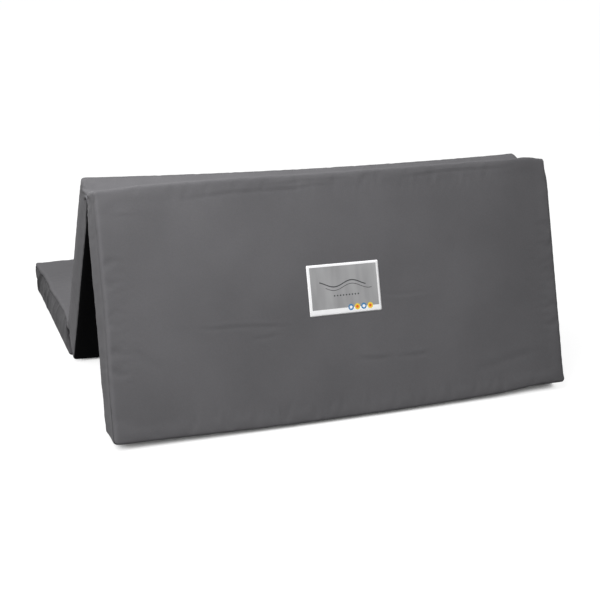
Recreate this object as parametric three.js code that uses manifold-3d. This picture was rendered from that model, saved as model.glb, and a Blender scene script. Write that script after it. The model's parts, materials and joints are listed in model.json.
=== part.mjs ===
// Folding foam mattress in three sections, set up as a tent: the front and middle
// sections lean together, the rear section lies flat on the floor behind them.
// Millimetres, +Z up, X across the mattress, origin under the middle of its box.

import * as THREE from 'three';
import { mergeVertices } from 'three/addons/utils/BufferGeometryUtils.js';
import Module from 'manifold-3d';

const wasm = await Module();
wasm.setup();

// Driving sizes
const bedWidth = 1400;
const sectionLength = 663;
const sectionThickness = 100;
const middleLean = THREE.MathUtils.degToRad(30.9);

// Cover and foam
const coverThickness = 2;
const coverFit = 0.3;
const seamGap = 0.3;
const cornerRadius = 16;
const crownRise = 12;
const crownReach = 34;
const wallSwell = 3;
const wallFlat = 34;
const footFlat = 0.5;
const crownShares = [[0, 0], [0.1, 0.3], [0.3, 0.68], [0.6, 0.93], [1, 1]];
const cornerSteps = 4;
const longSideSteps = 4;
const shortSideSteps = 2;

// Folds: a rolled seam on the fold line, and a flap of cover to each section
const foldClearance = 1;
const foldRollRadius = 2.8;
const foldRollGap = 0.3;
const foldRollSides = 12;
const flapThickness = 1;
const flapSeamGap = 0.4;
const foldEndMargin = 48;

// Zip in the right-hand end of each section
const zipLength = 520;
const zipTapeWidth = 28;
const zipCoilWidth = 5;
const zipCoilHeight = 2.2;
const zipFit = 0.3;
const sliderLength = 13;
const sliderWidth = 10;
const sliderRoof = 1.7;
const earThickness = 1.1;
const earLength = 4.4;
const barRadius = 0.8;
const barRise = 2.2;
const hubWidth = 3.2;
const hubRadius = 1.7;
const pullLength = 26;
const pullWidth = 7;
const pullThickness = 1.2;
const pullEyeRadius = 1.6;
const smallSides = 16;

// Label on the front face
const labelWidth = 222;
const labelHeight = 145;
const labelThickness = 0.8;
const labelCornerRadius = 3;
const labelFit = 0.3;
const labelLeft = 7;
const labelUp = 23;

// Sizes that follow
const halfWidth = bedWidth / 2;
const halfLength = sectionLength / 2;
const halfThickness = sectionThickness / 2;
const seamLevel = halfThickness - crownRise;
const overrun = 20;
const foldPitch = sectionLength + 2 * foldClearance;
const foldDepth = sectionThickness + 2 * foldClearance;

const colours = {
  face: 0x626165,
  underside: 0x58575b,
  border: 0x5d5c60,
  foam: 0xd9d3c0,
  fold: 0x565559,
  tape: 0x2f2f31,
  metal: 0x8c8d90,
  label: 0xdcdcde,
};

function fabric(colour) {
  return new THREE.MeshStandardMaterial({ color: colour, roughness: 0.9, metalness: 0 });
}

function metal(colour) {
  return new THREE.MeshStandardMaterial({ color: colour, roughness: 0.35, metalness: 1 });
}

function named(name, geometry, material) {
  const mesh = new THREE.Mesh(geometry, material);
  mesh.name = name;
  return mesh;
}

// Solids for cutting and joining

function toSolid(geometry) {
  const bare = geometry.clone();
  bare.deleteAttribute('normal');
  bare.deleteAttribute('uv');
  const merged = mergeVertices(bare);
  return new wasm.Manifold(new wasm.Mesh({
    numProp: 3,
    vertProperties: new Float32Array(merged.attributes.position.array),
    triVerts: new Uint32Array(merged.index.array),
  }));
}

function toGeometry(solid) {
  const mesh = solid.getMesh();
  const geometry = new THREE.BufferGeometry();
  geometry.setAttribute('position', new THREE.BufferAttribute(mesh.vertProperties, 3));
  geometry.setIndex(new THREE.BufferAttribute(mesh.triVerts, 1));
  return geometry;
}

function boxBetween(low, high) {
  const box = new THREE.BoxGeometry(high[0] - low[0], high[1] - low[1], high[2] - low[2]);
  box.translate((low[0] + high[0]) / 2, (low[1] + high[1]) / 2, (low[2] + high[2]) / 2);
  return box;
}

// A slab of space across a whole section, from one height to another
function slab(low, high) {
  const x = halfWidth + overrun;
  const y = halfLength + overrun;
  return toSolid(boxBetween([-x, -y, low], [x, y, high]));
}

// Outline of a section in plan, counter-clockwise: four round corners and the points
// between them, always the same number of points whatever the inset
function planOutline(inset) {
  const x = halfWidth - inset;
  const y = halfLength - inset;
  const radius = Math.min(cornerRadius, x, y);
  const corners = [[1, -1], [1, 1], [-1, 1], [-1, -1]];
  const points = [];
  corners.forEach(([sideX, sideY], corner) => {
    for (let step = 0; step <= cornerSteps; step += 1) {
      const angle = (corner - 1 + step / cornerSteps) * Math.PI / 2;
      points.push(new THREE.Vector2(
        sideX * (x - radius) + radius * Math.cos(angle),
        sideY * (y - radius) + radius * Math.sin(angle),
      ));
    }
    const start = points[points.length - 1];
    const [nextX, nextY] = corners[(corner + 1) % corners.length];
    const startAngle = corner * Math.PI / 2;
    const end = new THREE.Vector2(
      nextX * (x - radius) + radius * Math.cos(startAngle),
      nextY * (y - radius) + radius * Math.sin(startAngle),
    );
    const steps = corner % 2 === 0 ? shortSideSteps : longSideSteps;
    for (let step = 1; step < steps; step += 1) {
      points.push(start.clone().lerp(end, step / steps));
    }
  });
  return points;
}

// Edge of a section from its underside to its face: inset from the end, and height.
// The face stands proud of the seam, and the wall swells out between the two seams.
function edgeProfile(skin) {
  const crown = crownShares.map(([reach, rise]) => ({
    inset: skin + wallSwell + reach * crownReach,
    height: seamLevel + rise * crownRise - skin,
  }));
  const upper = [{ inset: skin, height: wallFlat / 2 }, ...crown];
  const lower = upper.map(({ inset, height }) => ({ inset, height: -height })).reverse();
  return [...lower, ...upper];
}

// Closed block of one section, drawn in all round by the skin
function blockGeometry(skin) {
  const rings = edgeProfile(skin).map(({ inset, height }) => (
    planOutline(inset).map((point) => [point.x, point.y, height])));
  const count = rings[0].length;
  const positions = rings.flat(2);
  const triangles = [];
  for (let ring = 0; ring + 1 < rings.length; ring += 1) {
    for (let step = 0; step < count; step += 1) {
      const next = (step + 1) % count;
      const a = ring * count + step;
      const b = ring * count + next;
      triangles.push(a, b, b + count, a, b + count, a + count);
    }
  }
  const bottom = positions.length / 3;
  const topHeight = rings[rings.length - 1][0][2];
  positions.push(0, 0, -topHeight, 0, 0, topHeight);
  const lastRing = (rings.length - 1) * count;
  for (let step = 0; step < count; step += 1) {
    const next = (step + 1) % count;
    triangles.push(bottom, next, step);
    triangles.push(bottom + 1, lastRing + step, lastRing + next);
  }
  const geometry = new THREE.BufferGeometry();
  geometry.setAttribute('position', new THREE.Float32BufferAttribute(positions, 3));
  geometry.setIndex(triangles);
  return geometry;
}

const coverShell = toSolid(blockGeometry(0)).subtract(toSolid(blockGeometry(coverThickness)));

function facePanel() {
  return coverShell.intersect(slab(seamLevel + seamGap / 2, halfThickness + overrun));
}

function undersidePanel() {
  return coverShell.intersect(slab(-halfThickness - overrun, -seamLevel - seamGap / 2));
}

// The border runs round all four ends, with a slot in the right-hand one for the zip
function border() {
  const band = coverShell.intersect(slab(-seamLevel + seamGap / 2, seamLevel - seamGap / 2));
  const slot = boxBetween(
    [halfWidth - coverThickness - overrun, -zipLength / 2 - zipFit, -zipTapeWidth / 2 - zipFit],
    [halfWidth + overrun, zipLength / 2 + zipFit, zipTapeWidth / 2 + zipFit],
  );
  return band.subtract(toSolid(slot));
}

function foamCore() {
  return blockGeometry(coverThickness + coverFit);
}

// Zip tape with its coil, lying flush in the border's slot
function zipTape() {
  const halfTape = zipTapeWidth / 2;
  const halfCoil = zipCoilWidth / 2;
  const shoulder = halfCoil / 2;
  const section = new THREE.Shape([
    new THREE.Vector2(-coverThickness, -halfTape),
    new THREE.Vector2(0, -halfTape),
    new THREE.Vector2(0, -halfCoil),
    new THREE.Vector2(zipCoilHeight, -shoulder),
    new THREE.Vector2(zipCoilHeight, shoulder),
    new THREE.Vector2(0, halfCoil),
    new THREE.Vector2(0, halfTape),
    new THREE.Vector2(-coverThickness, halfTape),
  ]);
  const tape = new THREE.ExtrudeGeometry(section, { depth: zipLength, bevelEnabled: false });
  tape.rotateX(Math.PI / 2);
  tape.translate(halfWidth, zipLength / 2, 0);
  return tape;
}

// Height of the pull's bar above the tape
const sliderTop = zipCoilHeight + zipFit + sliderRoof;
const barHeight = sliderTop + barRise;

// Slider that straddles the coil, with two ears and a bar for its pull; built round
// the middle of its own length, on the tape
function zipSlider() {
  const halfSlider = sliderLength / 2;
  const channel = zipCoilWidth / 2 + zipFit;
  const body = toSolid(boxBetween(
    [zipFit, -halfSlider, -sliderWidth / 2],
    [sliderTop, halfSlider, sliderWidth / 2],
  ));
  const tunnel = toSolid(boxBetween(
    [-overrun, -halfSlider - overrun, -channel],
    [zipCoilHeight + zipFit, halfSlider + overrun, channel],
  ));
  const earInner = hubWidth / 2 + zipFit;
  const earOuter = earInner + earThickness;
  const bar = new THREE.CylinderGeometry(barRadius, barRadius, 2 * earInner + earThickness, smallSides);
  bar.rotateX(Math.PI / 2);
  bar.translate(barHeight, 0, 0);
  let slider = body.subtract(tunnel).add(toSolid(bar));
  [-1, 1].forEach((side) => {
    const inner = side * earInner;
    const outer = side * earOuter;
    slider = slider.add(toSolid(boxBetween(
      [sliderTop - sliderRoof / 2, -earLength / 2, Math.min(inner, outer)],
      [barHeight + barRadius + zipFit, earLength / 2, Math.max(inner, outer)],
    )));
  });
  return toGeometry(slider);
}

// Pull: a hub round the slider's bar and a flat tongue that hangs along the coil
function zipPull() {
  const hub = new THREE.CylinderGeometry(hubRadius, hubRadius, hubWidth, smallSides);
  hub.rotateX(Math.PI / 2);
  const hole = new THREE.CylinderGeometry(
    barRadius + zipFit, barRadius + zipFit, hubWidth + overrun, smallSides);
  hole.rotateX(Math.PI / 2);
  const neck = hubWidth / 2;
  const half = pullWidth / 2;
  const neckEnd = hubRadius + earLength;
  const outline = new THREE.Shape();
  outline.moveTo(0, -neck);
  outline.lineTo(neckEnd, -neck);
  outline.lineTo(neckEnd + half - neck, -half);
  outline.lineTo(pullLength - half, -half);
  outline.absarc(pullLength - half, 0, half, -Math.PI / 2, Math.PI / 2);
  outline.lineTo(neckEnd + half - neck, half);
  outline.lineTo(neckEnd, neck);
  outline.lineTo(0, neck);
  const eye = new THREE.Path();
  eye.absarc(pullLength - half, 0, pullEyeRadius, 0, 2 * Math.PI, true);
  outline.holes.push(eye);
  const tongue = new THREE.ExtrudeGeometry(outline, {
    depth: pullThickness, bevelEnabled: false, curveSegments: smallSides / 2,
  });
  tongue.translate(0, 0, -pullThickness / 2);
  tongue.rotateX(Math.PI / 2);
  tongue.rotateZ(-Math.PI / 2);
  tongue.rotateY(Math.PI / 2);
  const turned = toSolid(hub).add(toSolid(tongue)).subtract(toSolid(hole));
  const pull = toGeometry(turned);
  pull.translate(barHeight, 0, 0);
  return pull;
}

// One section with its zip; hangs is -1 or 1, the end that the zip's pull points to
function makeSection(name, hangs) {
  const section = new THREE.Group();
  section.add(
    named(`${name}_foam_core`, foamCore(), fabric(colours.foam)),
    named(`${name}_face_panel`, toGeometry(facePanel()), fabric(colours.face)),
    named(`${name}_underside_panel`, toGeometry(undersidePanel()), fabric(colours.underside)),
    named(`${name}_border`, toGeometry(border()), fabric(colours.border)),
    named(`${name}_zip_tape`, zipTape(), fabric(colours.tape)),
  );
  const zip = new THREE.Group();
  zip.add(
    named(`${name}_zip_slider`, zipSlider(), metal(colours.metal)),
    named(`${name}_zip_pull`, zipPull(), metal(colours.metal)),
  );
  zip.position.set(halfWidth, hangs * (zipLength - sliderLength) / 2, 0);
  zip.rotation.x = hangs > 0 ? Math.PI : 0;
  section.add(zip);
  return section;
}

// Flap of cover from a section's seam to the fold's roll. The fold line lies outside the
// section's corner, end is -1 or 1 for the end of the section and side for its height.
function foldFlap(name, end, side) {
  const fold = new THREE.Vector2(end * (halfLength + foldClearance), side * (halfThickness + foldClearance));
  const seam = new THREE.Vector2(end * (halfLength - wallSwell), side * seamLevel);
  const reach = fold.distanceTo(seam);
  const inner = foldRollRadius + foldRollGap;
  const length = reach - inner - flapSeamGap;
  const flap = new THREE.BoxGeometry(bedWidth - 2 * foldEndMargin, length, flapThickness);
  flap.translate(0, inner + length / 2, 0);
  flap.rotateX(seam.sub(fold).angle());
  flap.translate(0, fold.x, fold.y);
  return named(name, flap, fabric(colours.fold));
}

function foldRoll(name, end, side) {
  const roll = new THREE.CylinderGeometry(
    foldRollRadius, foldRollRadius, bedWidth - 2 * foldEndMargin, foldRollSides);
  roll.rotateZ(Math.PI / 2);
  roll.translate(0, end * (halfLength + foldClearance), side * (halfThickness + foldClearance));
  return named(name, roll, fabric(colours.fold));
}

// Label sewn flat on the front section's face
function faceLabel() {
  const halfX = labelWidth / 2 - labelCornerRadius;
  const halfY = labelHeight / 2 - labelCornerRadius;
  const outline = new THREE.Shape();
  outline.absarc(halfX, -halfY, labelCornerRadius, -Math.PI / 2, 0);
  outline.absarc(halfX, halfY, labelCornerRadius, 0, Math.PI / 2);
  outline.absarc(-halfX, halfY, labelCornerRadius, Math.PI / 2, Math.PI);
  outline.absarc(-halfX, -halfY, labelCornerRadius, Math.PI, 3 * Math.PI / 2);
  const card = new THREE.ExtrudeGeometry(outline, {
    depth: labelThickness, bevelEnabled: false, curveSegments: cornerSteps,
  });
  card.translate(-labelLeft, labelUp, halfThickness + labelFit);
  return named('front_label', card, fabric(colours.label));
}

// How far the fold line above the front section stands over the floor
const ridgeHeight = sectionThickness + foldClearance
  + foldPitch * Math.cos(middleLean) - foldDepth * Math.sin(middleLean);

// Lowest point of the front section's foot below the ridge, for a lean from upright
function footReach(lean) {
  return Math.max(...edgeProfile(0).map(({ inset, height }) => (
    (foldClearance + sectionLength - inset) * Math.cos(lean)
    - (foldClearance + halfThickness + height) * Math.sin(lean))));
}

// The front section leans until its foot stands on the floor, pressed flat a little
function findFrontLean() {
  let low = 0;
  let high = Math.PI / 2;
  for (let step = 0; step < 50; step += 1) {
    const lean = (low + high) / 2;
    if (footReach(lean) > ridgeHeight + footFlat) low = lean;
    else high = lean;
  }
  return (low + high) / 2;
}

const frontLean = findFrontLean();

// What lies under the floor, in the front section's own frame
function underFloor() {
  const reach = sectionLength + sectionThickness;
  const space = boxBetween(
    [-halfWidth - overrun, -reach, -ridgeHeight - overrun],
    [halfWidth + overrun, reach, -ridgeHeight],
  );
  space.rotateX(frontLean - Math.PI / 2);
  space.translate(0, halfLength + foldClearance, -halfThickness - foldClearance);
  return toSolid(space);
}

function trimFoot(section, name) {
  const mesh = section.getObjectByName(name);
  mesh.geometry = toGeometry(toSolid(mesh.geometry).subtract(underFloor()));
}

// The sections as they lie when the mattress is spread out: faces up, the rear section
// behind, each next one turned about the fold line that it shares with the last
const mattress = new THREE.Group();

const rear = makeSection('rear', -1);
rear.add(foldFlap('lower_fold_rear_flap', -1, 1));
rear.add(foldRoll('lower_fold_roll', -1, 1));
rear.position.z = halfThickness;
mattress.add(rear);

const lowerFold = new THREE.Group();
lowerFold.position.set(0, -halfLength - foldClearance, halfThickness + foldClearance);
lowerFold.rotation.x = middleLean - Math.PI / 2;
rear.add(lowerFold);

const middle = makeSection('middle', 1);
middle.add(foldFlap('lower_fold_middle_flap', 1, 1));
middle.add(foldFlap('upper_fold_middle_flap', -1, -1));
middle.add(foldRoll('upper_fold_roll', -1, -1));
middle.position.set(0, -halfLength - foldClearance, -halfThickness - foldClearance);
lowerFold.add(middle);

const upperFold = new THREE.Group();
upperFold.position.set(0, -halfLength - foldClearance, -halfThickness - foldClearance);
upperFold.rotation.x = Math.PI - frontLean - middleLean;
middle.add(upperFold);

const front = makeSection('front', -1);
front.add(foldFlap('upper_fold_front_flap', 1, -1));
front.add(faceLabel());
trimFoot(front, 'front_border');
trimFoot(front, 'front_underside_panel');
front.position.set(0, -halfLength - foldClearance, halfThickness + foldClearance);
upperFold.add(front);

const box = new THREE.Box3().setFromObject(mattress);
const centre = box.getCenter(new THREE.Vector3());
mattress.position.set(-centre.x, -centre.y, 0);

const group = new THREE.Group();
group.add(mattress);

export default group;
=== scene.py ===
import json
import math

import bpy
import numpy as np
from mathutils import Matrix, Vector
from mathutils.bvhtree import BVHTree


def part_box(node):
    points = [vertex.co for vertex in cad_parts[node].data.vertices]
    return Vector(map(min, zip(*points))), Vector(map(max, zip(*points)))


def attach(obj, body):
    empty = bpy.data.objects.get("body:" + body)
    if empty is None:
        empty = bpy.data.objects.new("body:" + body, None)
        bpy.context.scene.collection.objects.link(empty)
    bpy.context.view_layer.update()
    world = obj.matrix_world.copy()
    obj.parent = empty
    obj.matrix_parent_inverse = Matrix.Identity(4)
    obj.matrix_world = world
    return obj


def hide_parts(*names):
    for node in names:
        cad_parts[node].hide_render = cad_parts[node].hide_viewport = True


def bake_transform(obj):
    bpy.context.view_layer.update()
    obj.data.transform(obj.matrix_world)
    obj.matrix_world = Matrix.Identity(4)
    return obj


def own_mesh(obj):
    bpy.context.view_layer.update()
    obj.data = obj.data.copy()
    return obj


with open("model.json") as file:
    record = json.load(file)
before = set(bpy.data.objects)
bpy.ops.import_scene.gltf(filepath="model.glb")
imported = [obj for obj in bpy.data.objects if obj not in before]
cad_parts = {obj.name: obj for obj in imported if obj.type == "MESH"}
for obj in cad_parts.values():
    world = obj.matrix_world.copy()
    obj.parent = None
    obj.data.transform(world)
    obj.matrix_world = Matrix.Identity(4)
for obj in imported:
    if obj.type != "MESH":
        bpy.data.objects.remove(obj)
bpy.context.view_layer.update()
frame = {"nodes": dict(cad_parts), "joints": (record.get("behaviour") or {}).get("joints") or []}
print("frame loaded")

scene = bpy.context.scene
sectionNames = ["front", "middle", "rear"]
mm = 0.001


# One section lies face up round its own middle: x across, y along the bed, z up.
# The frame's boxes give its size, and the zips' axes the way that each section leans.
rearLow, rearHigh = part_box("rear_border")
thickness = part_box("rear_face_panel")[1].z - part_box("rear_underside_panel")[0].z
sides = (rearHigh.x - rearLow.x, rearHigh.y - rearLow.y, thickness)
halfX, halfY, halfZ = (side / 2 / mm for side in sides)


def sectionPlace(name):
    zipJoint = next(joint for joint in frame["joints"] if joint["name"] == name + "_zip")
    along = Vector(zipJoint["axis"]).normalized()
    if name == "middle":
        along = -along
    across = Vector((1, 0, 0))
    up = across.cross(along)
    low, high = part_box(name + "_foam_core")
    place = Matrix((across, along, up)).transposed().to_4x4()
    place.translation = (low + high) / 2
    return place


places = {name: sectionPlace(name) for name in sectionNames}


def alongWay(name):
    return places[name].to_3x3() @ Vector((0, 1, 0))


def pointIn(name, *spot):
    return places[name] @ (Vector(spot) * mm)


# Helpers for materials

noiseSpan = (0.3, 0.7)  # most of a noise texture lies between these


class Wiring:
    # Adds nodes to a material or the world. A value is a number, a colour or another node's socket.
    def __init__(self, owner, values, shader="Principled BSDF"):
        owner.use_nodes = True
        self.owner, self.tree = owner, owner.node_tree
        self.shader = self.tree.nodes[shader]
        for key, value in values.items():
            self.put(key, value)

    def put(self, key, value, node=None):
        socket = (node or self.shader).inputs[key]
        if isinstance(value, bpy.types.NodeSocket):
            self.tree.links.new(value, socket)
        else:
            socket.default_value = value

    def add(self, kind, values, output, **settings):
        node = self.tree.nodes.new("ShaderNode" + kind)
        for key, value in settings.items():
            setattr(node, key, value)
        for key, value in values.items():
            self.put(key, value, node)
        return node.outputs[output]

    def calc(self, operation, first, second=0.0):
        return self.add("Math", {0: first, 1: second}, "Value", operation=operation)

    def times(self, first, second):
        return self.calc("MULTIPLY", first, second)

    def remap(self, value, old, new, kind="LINEAR"):
        keys = ("Value", "From Min", "From Max", "To Min", "To Max")
        return self.add("MapRange", dict(zip(keys, (value, *old, *new))), "Result", interpolation_type=kind)

    def noise(self, spot, scale, detail, roughness=0.5):
        values = {"Vector": spot, "Scale": scale, "Detail": detail, "Roughness": roughness}
        return self.add("TexNoise", values, "Fac")

    def wave(self, spot, way, scale, distortion, detail=2.0):
        values = {"Vector": spot, "Scale": scale, "Distortion": distortion, "Detail": detail}
        return self.add("TexWave", values, "Fac", bands_direction=way)

    def scaled(self, colour, value):
        return self.add("VectorMath", {0: colour, "Scale": value}, "Vector", operation="SCALE")

    def tint(self, colour, noise, tones):
        self.put("Base Color", self.scaled(colour, self.remap(noise, noiseSpan, tones)))

    def relief(self, height, strength, depth):
        values = {"Height": height, "Strength": strength, "Distance": depth}
        self.put("Normal", self.add("Bump", values, "Normal"))

    def kept(self, name, output):
        # what keepClothPlace wrote in the mesh
        return self.add("Attribute", {}, output, attribute_name=name)

    def seen(self):
        # 1 for what the camera or a glossy surface sees, 0 for the light that falls on things
        rays = [self.add("LightPath", {}, output) for output in ("Is Camera Ray", "Is Glossy Ray")]
        return self.calc("MAXIMUM", *rays)


def newMaterial(name, values):
    return Wiring(bpy.data.materials.new(name), values)


# Floor, light and camera

stage = {
    "floorSize": 60.0,
    "floorColour": (0.24, 0.24, 0.24, 1),
    "white": (1, 1, 1, 1),
    "floorGlow": 0.86,  # what the camera sees on top of the lit floor
    "shadeReach": 0.45,  # how far off things still shade that glow
    "shadeRange": (0.04, 0.30),
    "shadeSamples": 12,
    # the sky's light from each side: axis, sign, how fast it fades off that axis, level
    "sky": [("Z", 1.0, 4.0, 1.0), ("X", -1.0, 2.0, 1.1), ("X", 1.0, 2.0, 0.65), ("Y", 1.0, 2.0, 0.5)],
    # power, width, height, place, and the point that it faces
    "lamps": {
        "key": (36, 1.3, 1.1, (-1.6, -1.45, 2.4), (-0.35, -0.4, 0.3)),
        "overhead": (46, 1.3, 1.1, (-0.75, -0.95, 2.75), (-0.2, -0.3, 0.5)),
    },
    "camera": (-1230.76 * mm, -3346.27 * mm, 1391.29 * mm),
    "yaw": 21.446,
    "pitch": 19.561,
    "roll": 1.759,
    "focal": 1115.93,  # in pixels of a picture 600 wide
    "picture": 600,
    "sensor": 36.0,
}


def makeFloor():
    bpy.ops.mesh.primitive_plane_add(size=stage["floorSize"], location=(0, 0, 0))
    floor = bpy.context.object
    floor.name = "floor"
    paint = newMaterial("floorPaint", {
        "Base Color": stage["floorColour"],
        "Roughness": 1.0,
        "Specular IOR Level": 0.0,
        "Emission Color": stage["white"],
    })
    # the floor glows for the camera only where the sky reaches it, and keeps the shadows
    reach, samples = stage["shadeReach"], stage["shadeSamples"]
    openness = paint.add("AmbientOcclusion", {"Distance": reach}, "AO", samples=samples)
    glow = paint.remap(openness, stage["shadeRange"], (0.0, stage["floorGlow"]), "SMOOTHSTEP")
    paint.put("Emission Strength", paint.times(paint.seen(), glow))
    floor.data.materials.append(paint.owner)


def addObject(name, data):
    item = bpy.data.objects.new(name, data)
    scene.collection.objects.link(item)
    return item


def makeCamera():
    data = bpy.data.cameras.new("camera")
    data.sensor_width = stage["sensor"]
    data.lens = stage["focal"] / stage["picture"] * stage["sensor"]
    yaw, pitch, roll = (math.radians(stage[key]) for key in ("yaw", "pitch", "roll"))
    matrix = Matrix.Translation(stage["camera"])
    for angle, axis in ((-yaw, "Z"), (math.pi / 2 - pitch, "X"), (roll, "Z")):
        matrix = matrix @ Matrix.Rotation(angle, 4, axis)
    camera = addObject("camera", data)
    camera.matrix_world = matrix
    scene.camera = camera


def makeLamp(name, power, width, height, place, target):
    data = bpy.data.lights.new(name, "AREA")
    data.shape = "RECTANGLE"
    data.energy = power
    data.size = width
    data.size_y = height
    lamp = addObject(name, data)
    lamp.location = place
    lamp.rotation_euler = (Vector(target) - Vector(place)).to_track_quat("-Z", "Y").to_euler()


def makeWorld():
    world = bpy.data.worlds.new("studio")
    scene.world = world
    sky = Wiring(world, {"Color": stage["white"]}, "Background")
    spot = sky.add("TexCoord", {}, "Generated")
    light = 0.0
    for axis, sign, power, level in stage["sky"]:
        glow = sky.times(sky.add("SeparateXYZ", {"Vector": spot}, axis), sign)
        glow = sky.calc("POWER", sky.calc("MAXIMUM", glow, 0.0), power)
        light = sky.calc("ADD", light, sky.times(glow, level))
    # the camera sees plain white
    sky.put("Strength", sky.add("Mix", {"Factor": sky.seen(), "A": light, "B": 1.0}, "Result"))


makeCamera()
makeFloor()
makeWorld()
for name, values in stage["lamps"].items():
    makeLamp(name, *values)
scene.view_settings.view_transform = "Standard"
print("stage set")


# Helpers for meshes

def makeActive(item):
    for other in bpy.context.selected_objects:
        other.select_set(False)
    item.select_set(True)
    bpy.context.view_layer.objects.active = item


def joinAll(items, name):
    makeActive(items[0])
    for item in items:
        item.select_set(True)
    bpy.ops.object.join()
    items[0].name = name
    items[0].data.name = name
    return items[0]


def applyModifier(item, modifier):
    makeActive(item)
    bpy.ops.object.modifier_apply(modifier=modifier.name)


def modify(item, kind, **settings):
    modifier = item.modifiers.new(kind.lower(), kind)
    for key, value in settings.items():
        setattr(modifier, key, value)
    applyModifier(item, modifier)


def turnFacesOut(item, weld=None):
    makeActive(item)
    bpy.ops.object.mode_set(mode="EDIT")
    bpy.ops.mesh.select_all(action="SELECT")
    if weld:
        bpy.ops.mesh.remove_doubles(threshold=weld)
    bpy.ops.mesh.normals_make_consistent(inside=False)
    bpy.ops.object.mode_set(mode="OBJECT")


def readPoints(item, key="co"):
    points = np.zeros(len(item.data.vertices) * 3)
    item.data.vertices.foreach_get(key, points)
    return points.reshape(-1, 3)


def writePoints(item, columns):
    # columns are x, y and z in mm
    item.data.vertices.foreach_set("co", (np.stack(columns, axis=1) * mm).ravel())
    item.data.update()


def dress(item, material):
    item.data.polygons.foreach_set("use_smooth", [True] * len(item.data.polygons))
    item.data.materials.clear()
    item.data.materials.append(material)


def ease(t):
    return t * t * (3 - 2 * t)


def fadeIn(value, start, end):
    # 0 up to start, 1 from end on and smooth between; end may be the lower of the two
    return ease(np.clip((value - start) / (end - start), 0, 1))


def bell(value, middle, width):
    return np.exp(-((value - middle) / width) ** 2)


def softNoise(x, y, cell, seed):
    # Smooth noise between -1 and 1 from a seeded table, the same on each run
    size = 128
    table = np.random.RandomState(seed).uniform(-1, 1, (size, size))
    gridX, gridY = x / cell, y / cell
    cornerX, cornerY = np.floor(gridX).astype(int), np.floor(gridY).astype(int)
    partX, partY = ease(gridX - cornerX), ease(gridY - cornerY)
    left, right = cornerX % size, (cornerX + 1) % size
    low, high = cornerY % size, (cornerY + 1) % size
    near = table[left, low] * (1 - partX) + table[right, low] * partX
    far = table[left, high] * (1 - partX) + table[right, high] * partX
    return near * (1 - partY) + far * partY


# Cloth of the covers

clothLook = {
    "colour": (0.118, 0.116, 0.122),
    "shader": {"Roughness": 0.9, "Sheen Weight": 0.05, "Sheen Roughness": 0.5, "Specular IOR Level": 0.10},
    "threads": 620.0,  # threads to the metre
    "uneven": 1.2,  # how much the threads wander
    "blotches": (4.5, 3.0, 0.55),  # slow changes of tone: scale, detail, roughness
    "blotchChange": 0.07,
    "flecks": (372.0, 2.0, 0.7),  # small flecks of lighter yarn
    "fleckChange": 0.05,
    "relief": (0.25, 0.0005),
}


def clothMaterial(name, look):
    cloth = newMaterial(name, look["shader"])
    spot = cloth.kept("clothPlace", "Vector")
    blotch, fleck = cloth.noise(spot, *look["blotches"]), cloth.noise(spot, *look["flecks"])
    # the painted light and shade that shadeOf wrote in the mesh, which the blotches and flecks then vary
    tone = cloth.kept("paintedShade", "Fac")
    for noise, change in ((blotch, look["blotchChange"]), (fleck, look["fleckChange"])):
        tone = cloth.times(tone, cloth.remap(noise, noiseSpan, (1 - change, 1 + change)))
    cloth.put("Base Color", cloth.scaled(look["colour"], tone))
    # plain weave: two sets of threads that cross
    bands = look["threads"] / (2 * math.pi)
    threads = [cloth.wave(spot, way, bands, look["uneven"], 1.0) for way in "XY"]
    cloth.relief(cloth.calc("ADD", cloth.calc("MAXIMUM", *threads), fleck), *look["relief"])
    return cloth.owner


coverCloth = clothMaterial("coverCloth", clothLook)
# black base cloth, made near black with no sheen: in part painted shade for the dark inside of the tent
underCloth = clothMaterial("underCloth", {
    **clothLook, "colour": (0.005, 0.005, 0.0055),
    "shader": {**clothLook["shader"], "Sheen Weight": 0.0, "Specular IOR Level": 0.03},
})
foldTape = clothMaterial("foldTape", {**clothLook, "colour": (0.105, 0.103, 0.110)})


def keepClothPlace(item, flat, shade=None):
    layer = item.data.attributes.new("clothPlace", "FLOAT_VECTOR", "POINT")
    layer.data.foreach_set("vector", np.ascontiguousarray(flat, dtype=np.float32).ravel())
    # the painted light and shade, 1 where none is painted
    layer = item.data.attributes.new("paintedShade", "FLOAT", "POINT")
    layer.data.foreach_set("value", (np.ones(len(flat)) if shade is None else shade).astype(np.float32))


# Cover of one section: six grids make a box, whose rows then follow the padded outline.
# In from the side, a face climbs over its rounded edge; down a wall lie the two seams.
cover = {
    "columns": 142,
    "rows": 68,
    "corner": 12,
    "rowInset": [0, 1.2, 3.4, 7.0, 12, 19, 30],
    "faceInset": [0, 1.2, 3.4, 7.0, 12, 19, 30, 60],
    "faceDrawn": [3.6, 0.6, 0, 0, 0, 0, 0, 0],
    "faceHeight": [38.5, 40.9, 45.0, 48.4, 49.9, 49.6, 49.4, 50],
    "underDrawn": [2.2, 0.4, 0, 0, 0, 0, 0, 0],
    "underHeight": [45.5, 47.0, 48.6, 49.6, 50, 50, 50, 50],
    "wallHeight": [38.5, 37, 33.5, 25, 15, 5, -6, -17, -28, -38, -44, -45.5],
    "wallDrawn": [3.6, 0.8, 0.1, 0, 0, 0, 0, 0, 0, 0, 0.5, 2.2],
    "seeds": (21, 47, 83),
    "fill": 0.9,
    "kept": 0.96,  # of the front section's length, once the upper fold lies flat
}


def addGrid(columns, rows, turn=Matrix()):
    bpy.ops.mesh.primitive_grid_add(x_subdivisions=columns, y_subdivisions=rows, size=2)
    grid = bpy.context.object
    grid.data.transform(turn)
    return grid


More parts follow.
